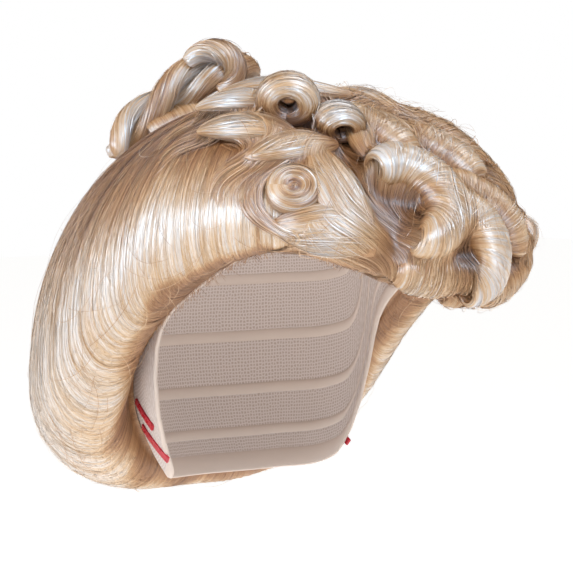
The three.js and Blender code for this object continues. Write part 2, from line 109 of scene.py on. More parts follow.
# The curls over the hair. heading and bend are in degrees, the sizes are shares of CURL_SIZE,
# and hole is a share of the thickness.
CURLS = rows(
    "name kind around down heading bend length wide thick lift hole",
    ("ring_curl_right", "roll", 40, 0.21, 0, 0, 0.62, 1.18, 1.04, 0.44, 0.34),
    ("oval_curl", "roll", 19, 0.235, 5, 0, 0.62, 0.96, 0.72, 0.3, 0.34),
    ("c_roll_right", "roll", 17, 0.39, -112, 215, 2.7, 1.0, 0.9, 0.36, 0.34),
    ("c_roll_front", "roll", 3, 0.45, -78, 135, 1.9, 0.96, 0.84, 0.34, 0.34),
    ("pin_curl_right", "ring", 38, 0.485, 0, 0, 0.26, 0.94, 0.94, 0.1, 0.3),
    ("wave_ribbon_right", "lock", 31, 0.33, -5, -45, 2.5, 0.94, 0.36, 0.14, 0),
    ("leaf_lock_lower", "lock", 51, 0.41, -113, -25, 1.8, 0.74, 0.38, 0.14, 0),
    ("leaf_lock_middle", "lock", 72, 0.31, -102, 7, 1.9, 0.78, 0.4, 0.16, 0),
    ("leaf_lock_upper", "lock", 84, 0.22, -118, 20, 1.7, 0.66, 0.38, 0.26, 0),
    ("oval_tail", "lock", 4, 0.22, 35, -30, 1.6, 0.52, 0.3, 0.2, 0),
    ("front_wave_left", "roll", -5, 0.4, -67, 50, 1.8, 0.9, 0.72, 0.24, 0),
    ("tip_roll", "roll", -8, 0.7, -84, -6, 1.8, 0.84, 0.84, 0.34, 0.34),
    ("ridge_roll", "roll", -52, 0.1, 30, 30, 2.9, 0.96, 0.46, -0.04, 0),
    ("inner_roll", "roll", 9, 0.2, -30, 10, 1.5, 0.92, 0.6, 0.2, 0),
    ("ruffle_roll", "roll", -16, 0.27, -25, 25, 1.5, 0.96, 0.74, 0.1, 0),
    ("brow_roll_right", "lock", 43, 0.62, -88, 4, 2.1, 0.92, 0.6, 0.02, 0),
    ("brow_roll_middle", "roll", 14, 0.68, -90, 0, 1.4, 0.8, 0.66, 0.06, 0),
    ("brow_roll_left", "roll", -3, 0.79, -92, 0, 2.2, 0.8, 0.8, 0.12, 0),
    ("crown_wave", "lock", 100, 0.13, -150, -20, 2.6, 0.5, 0.4, 0.2, 0),
    ("c_roll_left", "roll", -56, 0.33, -110, 190, 2.3, 0.84, 0.7, 0.04, 0.34),
    ("pin_curl_left", "ring", -78, 0.46, 0, 0, 0.26, 0.94, 0.94, 0.1, 0.3),
    ("wave_ribbon_left", "lock", -80, 0.3, 10, 40, 1.6, 0.6, 0.36, 0.14, 0),
    ("leaf_lock_left", "lock", -108, 0.3, 104, -10, 1.7, 0.48, 0.38, 0.16, 0),
    ("ring_curl_left", "roll", -96, 0.2, 0, 0, 0.62, 0.8, 0.7, 0.02, 0.34),
    ("brow_roll_side", "roll", -42, 0.66, -86, 0, 1.6, 0.8, 0.64, 0.06, 0),
    ("top_roll_left", "roll", -44, 0.2, 0, 40, 2.0, 0.96, 0.56, -0.02, 0),
    ("front_roll_left", "roll", -56, 0.36, -15, 60, 1.8, 0.96, 0.54, -0.02, 0.34),
    ("brow_wave_left", "roll", -30, 0.62, -78, 0, 1.6, 0.9, 0.7, 0.16, 0),
    ("middle_wave", "lock", -6, 0.17, -14, 20, 1.9, 0.86, 0.44, 0.12, 0),
    ("top_wave", "lock", -70, 0.08, 50, 20, 1.9, 0.5, 0.4, 0.14, 0),
    ("crown_roll", "roll", 155, 0.215, 128, 0, 2.5, 0.9, 0.8, 0.1, 0))
STEPS_PER_CURL_SIZE = 2.5
FEWEST_STEPS = 3
ROLL_ENDS, ROLL_SWELL = 0.72, 0.5
LOCK_ENDS, LOCK_SWELL = 0.12, 0.7

# The twist's middle line, with lift as a share of TWIST_SIZE, and the loop's, as shares of
# LOOP_SIZE.
TWIST = rows(
    "around down lift",
    (149, 0.27, 0.2), (155, 0.225, 0.5), (164, 0.175, 0.75), (178, 0.135, 1.0),
    (-163, 0.14, 0.95), (-152, 0.19, 0.6), (-147, 0.26, 0.2))
TWIST_TURNS, TWIST_FLAT, TWIST_ENDS = 1.9, 1.3, 0.62
LOOP_TURN, LOOP_ENDS = 40, 0.7
LOOP = rows(
    "along ahead rise",
    (-0.44, 0.3, 0.14), (-0.2, 0.34, 0.36), (0.12, 0.36, 0.42), (0.42, 0.36, 0.28),
    (0.54, 0.34, 0), (0.42, 0.3, -0.26), (0.18, 0.26, -0.42))

UP = np.array([0.0, 0.0, 1.0])

rng = np.random.default_rng(11)


# Shapes of the head and the hair

LOOKUP = np.arange(0, 180.01, 0.25)


def smooth_column(table, key):
    """A table's column on a smooth curve, sampled at LOOKUP."""
    x, y = cells(table, "around"), cells(table, key)
    slope = np.zeros(len(x))
    slope[1:-1] = (y[2:] - y[:-2]) / (x[2:] - x[:-2])
    i = np.clip(np.searchsorted(x, LOOKUP, side="right") - 1, 0, len(x) - 2)
    span = x[i + 1] - x[i]
    t = (LOOKUP - x[i]) / span
    return ((2 * t**3 - 3 * t**2 + 1) * y[i] + (t**3 - 2 * t**2 + t) * span * slope[i]
            + (3 * t**2 - 2 * t**3) * y[i + 1] + (t**3 - t**2) * span * slope[i + 1])


COLUMNS = {key: smooth_column(SWEEP, key) for key in ("reach", "level", "tuck", "full", "under")}
COLUMNS["hair_edge"] = smooth_column(HAIR_EDGE, "drop")
COLUMNS["net_edge"] = smooth_column(NET_EDGE, "drop")


def column(key, around):
    angle = np.abs((np.asarray(around, float) + 540) % 360 - 180)
    return np.interp(angle, LOOKUP, COLUMNS[key])


def polar(around, radius, z):
    angle = np.radians(around)
    return np.stack(np.broadcast_arrays(-np.sin(angle) * radius, -np.cos(angle) * radius, z), -1)


def head_radius(around, z, offset):
    side = np.sin(np.radians(around)) / (HEAD_WIDTH / 2 + offset)
    ahead = np.cos(np.radians(around)) / (HEAD_LENGTH / 2 + offset)
    height = (z + CROWN_TO_TEMPLE) / (CROWN_TO_TEMPLE + offset)
    return np.sqrt(np.maximum(1 - height**2, 0)) / np.hypot(side, ahead)


def net_point(around, share, offset):
    """A point on the head's surface grown by an offset, at a share of the way to the net's edge."""
    drop = column("net_edge", around) * CROWN_TO_TEMPLE
    reach = np.arccos((CROWN_TO_TEMPLE - drop) / (CROWN_TO_TEMPLE + offset))
    z = (CROWN_TO_TEMPLE + offset) * np.cos(reach * share) - CROWN_TO_TEMPLE
    return polar(around, head_radius(around, z, offset), z)


def hair_point(around, down):
    """A point on the hair's outer surface: down is 0 at the crown and 1 at the hairline."""
    around, down = np.broadcast_arrays(np.asarray(around, float), np.asarray(down, float))
    angle = np.radians(around)
    length = HEAD_LENGTH / 2 + np.where(np.cos(angle) > 0, FRONT_HAIR, BACK_HAIR)
    side = (np.abs(np.sin(angle)) / (HEAD_WIDTH / 2 + SIDE_HAIR)) ** PLAN_SQUARENESS
    ahead = (np.abs(np.cos(angle)) / length) ** PLAN_SQUARENESS
    reach = column("reach", around) / (side + ahead) ** (1 / PLAN_SQUARENESS)
    level = -CROWN_TO_TEMPLE * column("level", around)
    tuck = -CROWN_TO_TEMPLE * column("tuck", around)
    edge = -CROWN_TO_TEMPLE * column("hair_edge", around)
    rim = head_radius(around, edge, NET_WALL + GAP) + RIM_HAIR
    low = rim + (reach - rim) * column("under", around)
    power = 2 / column("full", around)
    upper = np.clip(down / WIDEST, 0, 1) * math.pi / 2
    middle = np.clip((down - WIDEST) / (LOWEST - WIDEST), 0, 1) * math.pi / 2
    last = np.clip((down - LOWEST) / (1 - LOWEST), 0, 1) * math.pi / 2
    radius = np.where(
        down <= WIDEST, reach * np.sin(upper) ** power,
        np.where(down <= LOWEST, low + (reach - low) * np.cos(middle),
                 low - (low - rim) * np.sin(last)))
    z = np.where(
        down <= WIDEST, level + (CROWN_HAIR - level) * np.clip(np.cos(upper), 0, 1) ** power,
        np.where(down <= LOWEST, level - (level - tuck) * np.sin(middle),
                 edge + (tuck - edge) * np.cos(last)))
    return polar(around, radius, z)


def unit(vectors):
    return vectors / np.maximum(np.linalg.norm(vectors, axis=-1, keepdims=True), 1e-9)


# The least down that is sampled: at the crown itself the surface has no direction.
NEAR_CROWN = 0.004


def hair_normal(around, down):
    """The outward direction of the hair's surface."""
    step, turn = NEAR_CROWN, 0.5
    down = np.asarray(down, float)
    above = hair_point(around, np.maximum(down - step, step / 2))
    below = hair_point(around, np.minimum(down + step, 1))
    level = np.maximum(down, step)
    before = hair_point(np.asarray(around) - turn, level)
    after = hair_point(np.asarray(around) + turn, level)
    return unit(np.cross(after - before, below - above))


def downhill(around, down):
    """The direction down the hair's surface."""
    return unit(hair_point(around, down + 0.01) - hair_point(around, down))


# The hair's surface sampled once, to find the place nearest to many points quickly.
GRID_AROUND = np.arange(-180, 180, 1.0)
GRID_DOWN = np.linspace(NEAR_CROWN, 1, 160)
GRID_POINTS = hair_point(GRID_AROUND[:, None], GRID_DOWN[None, :])
GRID_NORMALS = hair_normal(GRID_AROUND[:, None], GRID_DOWN[None, :])
GRID_RADIUS = np.hypot(GRID_POINTS[..., 0], GRID_POINTS[..., 1])
BATCH = 20000


def nearest_hair(points):
    """The nearest grid place on the hair to each point: its normal, the height above it, and
    where it is."""
    flat = points.reshape(-1, 3)
    around = np.degrees(np.arctan2(-flat[:, 0], -flat[:, 1]))
    column_of = np.round(around + 180).astype(int) % len(GRID_AROUND)
    radius = np.hypot(flat[:, 0], flat[:, 1])
    normals = np.empty_like(flat)
    height = np.empty(len(flat))
    level = np.empty(len(flat))
    for start in range(0, len(flat), BATCH):
        part = slice(start, start + BATCH)
        ring = column_of[part]
        away = ((GRID_RADIUS[ring] - radius[part, None]) ** 2
                + (GRID_POINTS[ring][..., 2] - flat[part, 2, None]) ** 2)
        down = away.argmin(axis=1)
        foot = GRID_POINTS[ring, down].copy()
        spot = polar(around[part], np.hypot(foot[:, 0], foot[:, 1]), foot[:, 2])
        normals[part] = GRID_NORMALS[ring, down]
        height[part] = ((flat[part] - spot) * normals[part]).sum(axis=1)
        level[part] = GRID_DOWN[down]
    shape = points.shape[:-1]
    return (normals.reshape(points.shape), height.reshape(shape), around.reshape(shape),
            level.reshape(shape))


def rest_on_hair(points, clearance):
    """Points moved out of the hair, to lie at least a clearance above it."""
    normals, height, _, _ = nearest_hair(points)
    return points + normals * np.maximum(clearance - height, 0)[..., None]


def settle(point):
    """The place on the hair nearest to one point."""
    around = math.degrees(math.atan2(-point[0], -point[1]))
    nearest, reach, step = 0.5, 0.48, 0.05
    while step > 0.001:
        downs = np.arange(nearest - reach, nearest + reach + step / 2, step)
        downs = np.clip(downs, NEAR_CROWN, 1)
        away = np.linalg.norm(hair_point(around, downs) - point, axis=1)
        nearest = downs[away.argmin()]
        reach, step = step, step / 5
    return around, nearest


def turned(vector, axis, degrees):
    return np.array(Matrix.Rotation(math.radians(degrees), 3, Vector(axis)) @ Vector(vector))


def walk(curl):
    """A curl's line over the hair: points with their outward, across and onward directions."""
    steps = max(FEWEST_STEPS, math.floor(curl["length"] * STEPS_PER_CURL_SIZE + 0.5))
    around, down = curl["around"], curl["down"]
    along = turned(downhill(around, down), hair_normal(around, down), -curl["heading"])
    line = []
    for _ in range(steps + 1):
        out = hair_normal(around, down)
        along = unit(along - out * (along @ out))
        foot = hair_point(around, down)
        line.append((foot + out * curl["lift"] * CURL_SIZE, out, np.cross(along, out), along))
        around, down = settle(foot + along * curl["length"] * CURL_SIZE / steps)
        along = turned(along, out, -curl["bend"] / steps)
    return [np.array(part) for part in zip(*line)]


def even_spline(values, t):
    """A smooth curve through evenly spaced rows of values, at shares t of its length."""
    last = len(values) - 1
    padded = np.concatenate([2 * values[:1] - values[1:2], values, 2 * values[-1:] - values[-2:-1]])
    at = np.clip(np.asarray(t, float), 0, 1) * last
    i = np.minimum(at.astype(int), last - 1)
    f = (at - i)[..., None]
    a, b, c, d = (padded[i + k] for k in range(4))
    return 0.5 * (2 * b + (c - a) * f + (2 * a - 5 * b + 4 * c - d) * f**2
                  + (3 * b - a - 3 * c + d) * f**3)


def curve_through(points, count):
    """Even steps along a centripetal curve through points, with its directions."""
    ends = np.concatenate([2 * points[:1] - points[1:2], points, 2 * points[-1:] - points[-2:-1]])
    dense = []
    for p0, p1, p2, p3 in zip(ends, ends[1:], ends[2:], ends[3:]):
        d0, d1, d2 = (np.linalg.norm(b - a) ** 0.5 for a, b in ((p0, p1), (p1, p2), (p2, p3)))
        m1 = ((p1 - p0) / d0 - (p2 - p0) / (d0 + d1) + (p2 - p1) / d1) * d1
        m2 = ((p2 - p1) / d1 - (p3 - p1) / (d1 + d2) + (p3 - p2) / d2) * d1
        t = np.linspace(0, 1, 60, endpoint=False)[:, None]
        dense.append(p1 + m1 * t + (3 * (p2 - p1) - 2 * m1 - m2) * t**2
                     + (2 * (p1 - p2) + m1 + m2) * t**3)
    dense = np.concatenate(dense + [points[-1:]])
    length = np.concatenate([[0], np.cumsum(np.linalg.norm(np.diff(dense, axis=0), axis=1))])
    even = np.linspace(0, length[-1], count)
    line = np.stack([np.interp(even, length, dense[:, k]) for k in range(3)], axis=1)
    return line, unit(np.gradient(line, axis=0))


def swell(end_share, power, share):
    return end_share + (1 - end_share) * np.maximum(np.sin(np.pi * share), 0) ** power


# Hair forms

# Each is a function of u, across the hair, and v, along the hair, both from 0 to 1, that returns
# points in millimetres. SWEEP_END is the v where the swept hair turns in to the net, and TIP_SHARE
# the share of a bundle's length in which each end closes.
SWEEP_END = 0.985
TIP_SHARE = 0.035


def sweep_form(first, last):
    """The swept hair between two angles, from the crown to the hairline and in to the net."""
    def form(u, v):
        around = first + (last - first) * u
        spot = hair_point(around, np.minimum(v / SWEEP_END, 1))
        edge = -CROWN_TO_TEMPLE * column("hair_edge", around)
        net = polar(around, head_radius(around, edge, NET_WALL + GAP), edge)
        inwards = np.clip((v - SWEEP_END) / (1 - SWEEP_END), 0, 1)[..., None]
        return spot + (net - spot) * inwards
    return form


def line_frame(line, t):
    point, out, across = (even_spline(part, t) for part in line[:3])
    out = unit(out)
    return point, out, unit(across - out * (across * out).sum(-1, keepdims=True))


def oval(middle, across, wide, out, thick, angle):
    """Points round an oval with its two directions and its half sizes in them."""
    return (middle + across * (wide * np.cos(angle))[..., None]
            + out * (thick * np.sin(angle))[..., None])


def roll_profile(length, thick, hole):
    """A roll's wound outline: places along the line and radius shares, by even arc length."""
    lip = min(0.3 * thick, 0.2 * length)
    hole = max(hole, 0.1)
    deep = min(0.8 * thick, 0.4 * length)
    end = np.array([
        (deep, hole * 0.75), (lip, hole), (lip * 0.3, hole + 0.05), (-lip * 0.1, hole + 0.22),
        (-lip * 0.12, 0.68), (lip * 0.12, 0.86), (lip * 0.6, 0.97), (lip * 1.3, 1.0)])
    other = end[::-1] * (-1, 1) + (length, 0)
    outline = np.concatenate([end, other])
    arc = np.linalg.norm(np.diff(outline * (1, thick / 2), axis=0), axis=1)
    arc = np.concatenate([[0], np.cumsum(arc)])
    return arc / arc[-1], outline[:, 0] / length, outline[:, 1]


def roll_form(curl):
    """Hair wound round the curl's own line, with rounded ends that turn into the hole."""
    line = walk(curl)
    wide = curl["wide"] * CURL_SIZE / 2
    thick = curl["thick"] * CURL_SIZE / 2
    length = curl["length"] * CURL_SIZE
    arc, places, shares = roll_profile(length, 2 * thick, curl["hole"])

    def form(u, v):
        t = np.interp(u, arc, places)
        share = np.interp(u, arc, shares)
        point, out, across = line_frame(line, t)
        _, _, _, along = line
        beyond = (t - np.clip(t, 0, 1)) * length
        point = point + unit(even_spline(along, t)) * beyond[..., None]
        angle = 2 * math.pi * v - math.pi / 2
        size = share * swell(ROLL_ENDS, ROLL_SWELL, np.clip(t, 0, 1))
        size = size * (1 - 0.05 * v)
        return oval(point, across, wide * size, out, thick * size, angle)
    return form


def tube_form(line, wide, thick, end_share, power, twisting=0):
    """Hair that runs along a line, in a bundle that narrows at its ends and closes there."""
    def form(u, v):
        point, out, across = line_frame(line, v)
        angle = 2 * math.pi * (u + twisting * v) - math.pi / 2
        close = np.clip(1 - np.minimum(v, 1 - v) / TIP_SHARE, 0, 1)
        size = swell(end_share, power, v) * np.sqrt(1 - close**2)
        return oval(point, across, wide * size, out, thick * size, angle)
    return form


def ring_form(curl):
    """Hair wound flat round the upright, like a snail shell, from its outer edge to its hole."""
    foot, out, across, along = (part[0] for part in walk(curl))
    radius = curl["wide"] * CURL_SIZE / 2
    height = curl["length"] * CURL_SIZE
    profile = rows(
        "radius height",
        (1.02, -0.5), (1.05, -0.1), (1.02, 0.2), (0.93, 0.44), (0.8, 0.56), (0.64, 0.58),
        (0.48, 0.52), (0.32, 0.42), (0.16, 0.36), (0.0, 0.4))
    places = np.linspace(0, 1, len(profile))
    radii, heights = cells(profile, "radius"), cells(profile, "height")

    def form(u, v):
        inwards = np.clip(u + 0.09 * (v - 0.5), 0, 1)
        angle = 2 * math.pi * v
        reach = radius * np.interp(inwards, places, radii)
        rise = height * np.interp(inwards, places, heights)
        return oval(foot, across, reach, along, reach, angle) + out * rise[..., None]
    return form


# Smooth noise, from a fixed table of random numbers

NOISE_ROWS, NOISE_LENGTH = 64, 4096
NOISE = np.random.default_rng(5).random((NOISE_ROWS, NOISE_LENGTH))
NOISE_SHIFT, NOISE_SHIFTS = 37.7, 97

# The row of the table that each kind of noise reads. A curl's row comes from its name.
SWAY, SWEEP_LOCKS, SWEEP_WAVES, TWIST_LOCKS, PATCHES, TUCK = 3, 7, 8, 9, 12, 14


def eased(x):
    """Each number's whole part, and a smooth share of the way to the next whole number."""
    whole = np.floor(x).astype(int)
    share = x - whole
    return whole, share * share * (3 - 2 * share)


def noise_line(row, x):
    """Smooth noise from -1 to 1 with bumps about 1 wide."""
    i, share = eased(x)
    values = NOISE[row]
    return 2 * (values[i % NOISE_LENGTH] * (1 - share) + values[(i + 1) % NOISE_LENGTH] * share) - 1


def noise_plane(row, x, y):
    """Smooth noise over a plane, from -1 to 1 with bumps about 1 wide."""
    j, share = eased(y)
    low = noise_line(row, x + NOISE_SHIFT * (j % NOISE_SHIFTS))
    high = noise_line(row, x + NOISE_SHIFT * ((j + 1) % NOISE_SHIFTS))
    return low * (1 - share) + high * share


# Meshes

def surface_normal(form, u, v, sign):
    du, dv = 0.002, 0.004
    across = form(np.clip(u + du, 0, 1), v) - form(np.clip(u - du, 0, 1), v)
    along = form(u, np.clip(v + dv, 0, 1)) - form(u, np.clip(v - dv, 0, 1))
    return sign * unit(np.cross(across, along))


def grid_part(points, tone, u, v, flip=False):
    """A part of a grid of points, laid column by column."""
    columns, steps = u.shape
    i, j = np.meshgrid(np.arange(columns - 1), np.arange(steps - 1), indexing="ij")
    a = i * steps + j
    quads = np.stack([a, a + 1, a + steps + 1, a + steps], -1).reshape(-1, 4)
    return {
        "points": points.reshape(-1, 3), "quads": quads[:, ::-1] if flip else quads,
        "uv": np.stack([u, v], -1).reshape(-1, 2), "tone": np.broadcast_to(tone, u.shape).ravel()}


def add_object(name, data):
    thing = bpy.data.objects.new(name, data)
    bpy.context.scene.collection.objects.link(thing)
    return thing


def joined(parts):
    """The points and quads of several parts as one."""
    points = np.concatenate([part["points"] for part in parts])
    starts = np.cumsum([0] + [len(part["points"]) for part in parts[:-1]])
    quads = np.concatenate([part["quads"] + start for part, start in zip(parts, starts)])
    return points, quads


def make_mesh(name, parts, material):
    """One object from parts, each a dict of points in millimetres, quads, uv and tone."""
    points, quads = joined(parts)
    uv = np.concatenate([part["uv"] for part in parts])
    tone = np.concatenate([part["tone"] for part in parts])
    mesh = bpy.data.meshes.new(name)
    mesh.vertices.add(len(points))
    mesh.vertices.foreach_set("co", (points * MM).astype(np.float32).ravel())
    mesh.loops.add(quads.size)
    mesh.loops.foreach_set("vertex_index", quads.astype(np.int32).ravel())
    mesh.polygons.add(len(quads))
    mesh.polygons.foreach_set("loop_start", np.arange(0, quads.size, 4, dtype=np.int32))
    mesh.polygons.foreach_set("use_smooth", np.ones(len(quads), bool))
    mesh.update(calc_edges=True)
    layer = mesh.uv_layers.new(name="OFBake")
    layer.data.foreach_set("uv", uv[quads].astype(np.float32).ravel())
    shade = mesh.attributes.new("tone", "FLOAT", "POINT")
    shade.data.foreach_set("value", tone.astype(np.float32))
    mesh.materials.append(material)
    return add_object(name, mesh)


def body_part(surface, u_count, v_count):
    u, v = np.meshgrid(np.linspace(0, 1, u_count), np.linspace(0, 1, v_count), indexing="ij")
    points, tone, _ = surface(u, v, 0)
    return grid_part(points, tone, u, v)


# How much strands differ in tone, tilt, width and lift, how soon they taper at their ends, and
# half their width on the UV map.
STRAND_TONE, STRAND_TILT, WIDTH_SPREAD, LIFT_SPREAD = 0.08, 0.28, (0.6, 1.3), 1.2
TAPER, TIP = 4.5, 0.04
HALF_UV = 0.0006


def ribbons(points, tone, normals, u, v, width):
    """Thin ribbons along lines of points, which are by strand and step. width is by strand."""
    count, steps = points.shape[:2]
    tone = np.broadcast_to(tone + rng.normal(0, STRAND_TONE, (count, 1)), (count, steps))
    u, v = np.broadcast_to(u, (count, steps)), np.broadcast_to(v, (count, steps))
    along = unit(np.gradient(points, axis=1))
    side = unit(np.cross(along, normals))
    tilt = rng.normal(0, STRAND_TILT, (count, 1, 1))
    side = side * np.cos(tilt) + np.cross(side, along) * np.sin(tilt)
    taper = np.minimum(1, TAPER * np.sin(np.linspace(TIP, math.pi - TIP, steps)))
    edge = side * (width[:, None] / 2 * taper)[..., None]
    ribbon = np.stack([points - edge, points + edge], 2)
    start = np.arange(count)[:, None] * steps * 2 + np.arange(steps - 1)[None, :] * 2
    quads = np.stack([start, start + 1, start + 3, start + 2], -1).reshape(-1, 4)
    uv = np.stack([np.stack([u + skew, v], -1) for skew in (-HALF_UV, HALF_UV)], 2)
    return {
        "points": ribbon.reshape(-1, 3), "quads": quads,
        "uv": np.clip(uv.reshape(-1, 2), 0, 1), "tone": np.repeat(tone.ravel(), 2)}


def arch(steps):
    """0 at both ends of a strand and 1 in its middle."""
    return np.sin(np.linspace(0, math.pi, steps)) ** 0.5


def strands_over(surface, count, steps, spans, wander, drift, lift, width, sways, ends=(0, 1)):
    """Strands laid over a surface, at random places, that sway together with their neighbours."""
    first, last = ends
    root = rng.uniform(0, 1, (count, 1))
    span = rng.uniform(*spans, (count, 1)) * (last - first)
    start = first + rng.uniform(0, 1, (count, 1)) * (last - first - span)
    v = start + span * np.linspace(0, 1, steps)
    sway = noise_plane(SWAY, root * sways, v * 3)
    own = rng.normal(0, 1, (count, 1)) * (v - v.mean(axis=1, keepdims=True))
    u = np.clip(root + wander * sway + drift * own, 0, 1)
    height = rng.gamma(LIFT_SPREAD, lift / LIFT_SPREAD, (count, 1)) * arch(steps)
    widths = rng.uniform(*WIDTH_SPREAD, count) * width
    return ribbons(*surface(u, v, height), u, v, widths)


# Painted shade and highlight: how much paler the hair is painted for each millimetre that its relief
# stands up, so its furrows are darker.
RELIEF_PAINTED_SHADE = 0.16


def hair_surface(form, sign, relief, tone_of, clearance=None):
    """A hair form with its relief and its tone. With a clearance it stays out of the swept hair."""
    def surface(u, v, lift):
        normals = surface_normal(form, u, v, sign)
        ridges = relief(u, v)
        points = form(u, v) + normals * (ridges + lift)[..., None]
        if clearance is not None:
            points = rest_on_hair(points, clearance)
        # Painted shade in the relief's furrows and painted highlight on its ridges.
        return points, tone_of(u, v) + RELIEF_PAINTED_SHADE * ridges, normals
    return surface


# How high locks stand, how round their tops are, and the level that is taken off them.
LOCK_HEIGHT, LOCK_ROUNDNESS, LOCK_LEVEL = 1.2, 0.6, 0.9


def groove(row, x, y, height=LOCK_HEIGHT):
    """Locks side by side: rounded tops with narrow furrows between them."""
    return np.abs(noise_plane(row, x, y)) ** LOCK_ROUNDNESS * height - LOCK_LEVEL


# Materials

def new_material(name):
    material = bpy.data.materials.new(name)
    material.use_nodes = True
    tree = material.node_tree
    return material, tree, tree.nodes["Principled BSDF"]


def connect(tree, node, inputs):
    """Sets a node's inputs. A socket is linked to its input, and anything else is its value."""
    for name, value in inputs.items():
        if isinstance(value, bpy.types.NodeSocket):
            tree.links.new(value, node.inputs[name])
        else:
            node.inputs[name].default_value = value


def shader_node(tree, kind, inputs=None, **settings):
    node = tree.nodes.new(kind)
    for key, value in settings.items():
        setattr(node, key, value)
    connect(tree, node, inputs or {})
    return node


def math_node(tree, operation, first, second, clamp=False):
    node = shader_node(
        tree, "ShaderNodeMath", {0: first, 1: second}, operation=operation, use_clamp=clamp)
    return node.outputs[0]


def tone_of_place(tree):
    return shader_node(tree, "ShaderNodeAttribute", attribute_name="tone").outputs["Fac"]


def mixed(tree, factor, first, second):
    inputs = {"Factor": factor, "A": first, "B": second}
    return shader_node(tree, "ShaderNodeMix", inputs, data_type="RGBA").outputs["Result"]


def bumped(tree, height, strength):
    inputs = {"Height": height, "Strength": strength, "Distance": BUMP_DISTANCE}
    return shader_node(tree, "ShaderNodeBump", inputs).outputs["Normal"]


def stretched_uv(tree, across, along):
    """The UV map with so many units across it and along it."""
    uv = shader_node(tree, "ShaderNodeUVMap", uv_map="OFBake").outputs["UV"]
    inputs = {"Vector": uv, "Scale": (across, along, 1)}
    return shader_node(tree, "ShaderNodeMapping", inputs).outputs["Vector"]


def stretched_noise(tree, across, along, detail):
    """Noise drawn out along the hair."""
    inputs = {"Vector": stretched_uv(tree, across, along), "Scale": 1.0, "Detail": detail}
    return shader_node(tree, "ShaderNodeTexNoise", inputs, noise_dimensions="2D").outputs["Fac"]


HAIR_COLOURS = rows(
    "at colour",
    (0.0, (0.12, 0.05, 0.02, 1)),
    (0.25, (0.30, 0.14, 0.055, 1)),
    (0.5, (0.46, 0.255, 0.115, 1)),
    (0.75, (0.62, 0.445, 0.28, 1)))
# The palest, silvery end of each ramp is painted highlight on the crests and on the full sweep.
SWEEP_PAINTED_HIGHLIGHT, CURL_PAINTED_HIGHLIGHT = (0.76, 0.71, 0.685, 1), (0.63, 0.62, 0.645, 1)

# How strongly the stripes change the tone, and the roughness of dark hair, how much smoother pale
# hair is, and how much rougher its stripes are.
FINE_STRIPES, BROAD_STRIPES = 0.5, 0.4
DARK_ROUGHNESS, PALE_SMOOTHER, STRIPE_ROUGHNESS = 0.54, 0.23, 0.12
BUMP_DISTANCE = 0.0002


def hair_material(name, across, along, painted_highlight):
    """Glossy blonde fibre: stripes along the hair at two scales, over the tone of each place, whose
    palest end is a painted highlight.
    """
    material, tree, shader = new_material(name)
    fine = stretched_noise(tree, across, along, 3)
    broad = stretched_noise(tree, across * 0.3, along * 0.6, 2)
    stripes = [
        math_node(tree, "MULTIPLY", math_node(tree, "SUBTRACT", noise, 0.5), strength)
        for noise, strength in ((fine, FINE_STRIPES), (broad, BROAD_STRIPES))]
    both = math_node(tree, "ADD", *stripes)
    level = math_node(tree, "ADD", tone_of_place(tree), both, clamp=True)
    ramp = shader_node(tree, "ShaderNodeValToRGB", {"Fac": level})
    colours = HAIR_COLOURS + rows("at colour", (1.0, painted_highlight))
    elements = ramp.color_ramp.elements
    while len(elements) < len(colours):
        elements.new(0.5)
    for element, row in zip(elements, colours):
        element.position = row["at"]
        element.color = row["colour"]
    smoother = math_node(tree, "MULTIPLY", level, PALE_SMOOTHER)
    dull = math_node(tree, "SUBTRACT", DARK_ROUGHNESS, smoother)
    stripe_part = math_node(tree, "MULTIPLY", fine, STRIPE_ROUGHNESS)
    tangent = shader_node(tree, "ShaderNodeTangent", direction_type="UV_MAP", uv_map="OFBake")
    connect(tree, shader, {
        "Base Color": ramp.outputs["Color"], "Roughness": math_node(tree, "ADD", dull, stripe_part),
        "Tangent": tangent.outputs["Tangent"], "Normal": bumped(tree, fine, 0.3),
        "Anisotropic": 0.75, "Specular IOR Level": 0.6, "IOR": 1.6, "Sheen Weight": 0.05,
        "Sheen Roughness": 0.4})
    return material


sweep_material = hair_material("hair_swept", 1100, 4, SWEEP_PAINTED_HIGHLIGHT)
front_material = hair_material("hair_front", 420, 4, SWEEP_PAINTED_HIGHLIGHT)
curl_material = hair_material("hair_curl", 120, 3, CURL_PAINTED_HIGHLIGHT)


# Swept hair and pompadour

# Tone along the swept hair: a painted highlight makes it pale round its full part, and painted shade
# makes it dark where it tucks under.
SWEEP_TONE = rows(
    "at tone",
    (0, 0.28), (0.1, 0.2), (0.26, 0.22), (0.4, 0.46), (0.56, 0.94), (0.74, 0.83), (0.84, 0.76),
    (0.9, 0.32), (0.94, 0.14), (1, 0.14))
SWEEP_DEPTH = rows(
    "at depth",
    (0, 0.1), (0.1, 0.12), (0.5, 0.1), (0.8, 0.22), (0.97, 0.34), (1, 0))

# Counts of locks, waves and sways in a full turn, and how far strands wander and drift, as shares
# of a full turn.
TURN_LOCKS, TURN_WAVES, TURN_SWAYS = 150, 26, 34
SWEEP_WANDER, SWEEP_DRIFT = 1.2 / 274, 0.008


def along_table(table, key, v):
    """A table's column at shares v of the hair's length."""
    return np.interp(v, cells(table, "at"), cells(table, key))


def sweep_tone(first, last):
    """Golden near the crown, silvery pale on the full sweep as a painted highlight, and golden again
    where it tucks under, as painted shade.
    The painted shade starts sooner ahead of the ears."""
    def tone(u, v):
        behind = 180 - np.abs(180 - (first + (last - first) * u) % 360)
        sooner = 0.15 * np.clip((110 - behind) / 35, 0, 1) * np.clip((v - 0.55) / 0.2, 0, 1)
        shift = 0.05 * noise_line(TUCK, u * 23) + sooner
        patches = 0.12 * noise_plane(PATCHES, u * 110, v * 3)
        return along_table(SWEEP_TONE, "tone", v + shift) + patches
    return tone


# Every hair piece: its name, the node it replaces, its parts and its material.
hair_pieces = []


